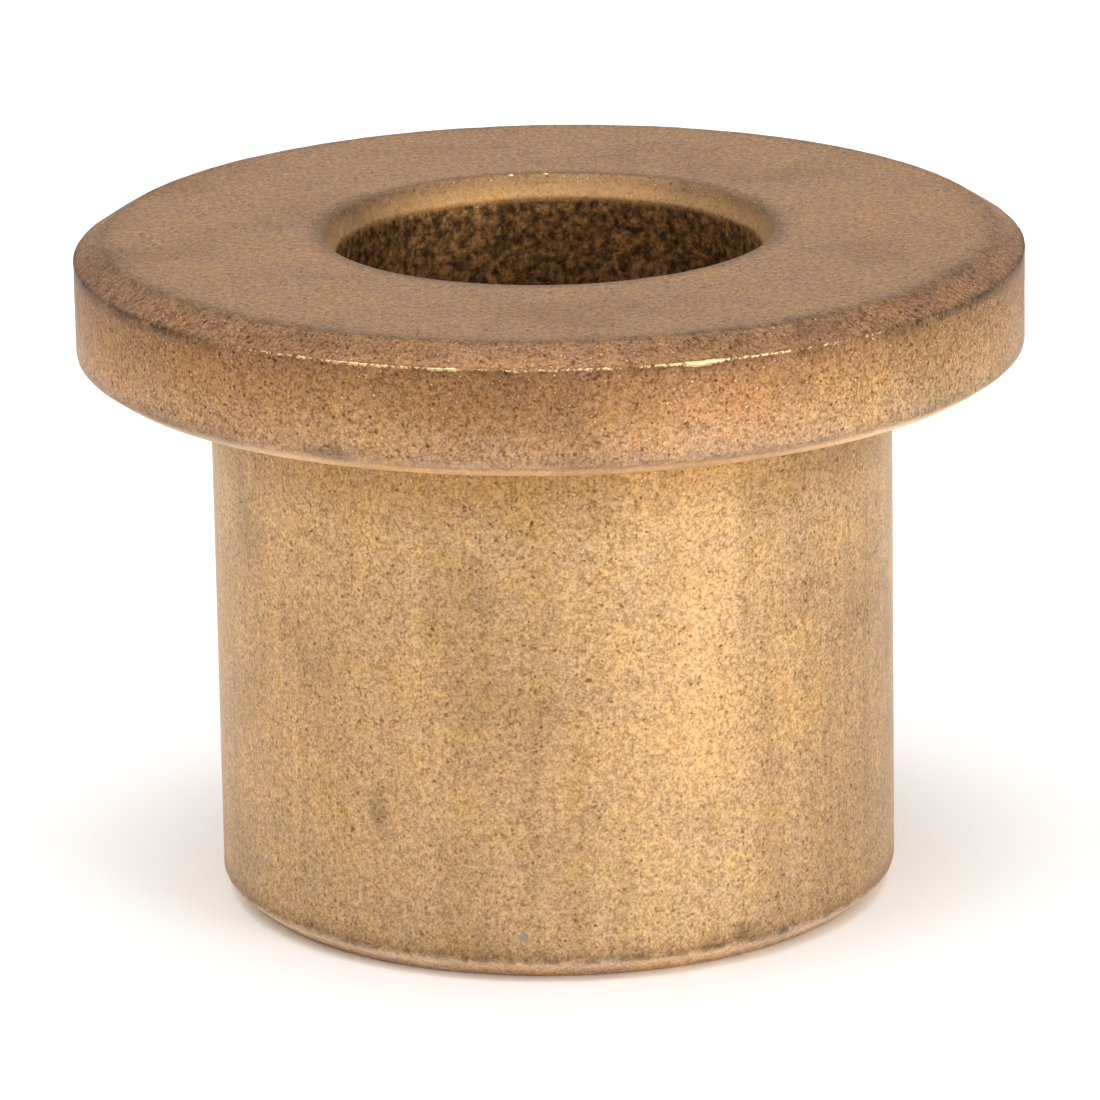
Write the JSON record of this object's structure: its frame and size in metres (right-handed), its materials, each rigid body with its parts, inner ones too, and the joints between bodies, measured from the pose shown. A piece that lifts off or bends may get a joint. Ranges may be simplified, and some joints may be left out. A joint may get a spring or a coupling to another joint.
{
  "type": "flanged sleeve bushing",
  "caption": "One-piece sintered bronze sleeve bushing with a thrust flange: a plain bore carries a shaft and the sleeve presses into a housing.",
  "frame": {"origin": "centre of the sleeve's plain end face, which is the lowest point", "axes": "+Z along the bore's axis, from the plain end towards the flange; X and Y are any two directions square to it, because the part is a body of revolution"},
  "size_m": [0.0222, 0.0222, 0.0159],
  "materials": {
    "sintered_bronze": "matte sintered bronze, burnished on the sleeve"
  },
  "bodies": {
    "root": {"flanged_bushing": "sintered_bronze"}
  },
  "joints": []
}
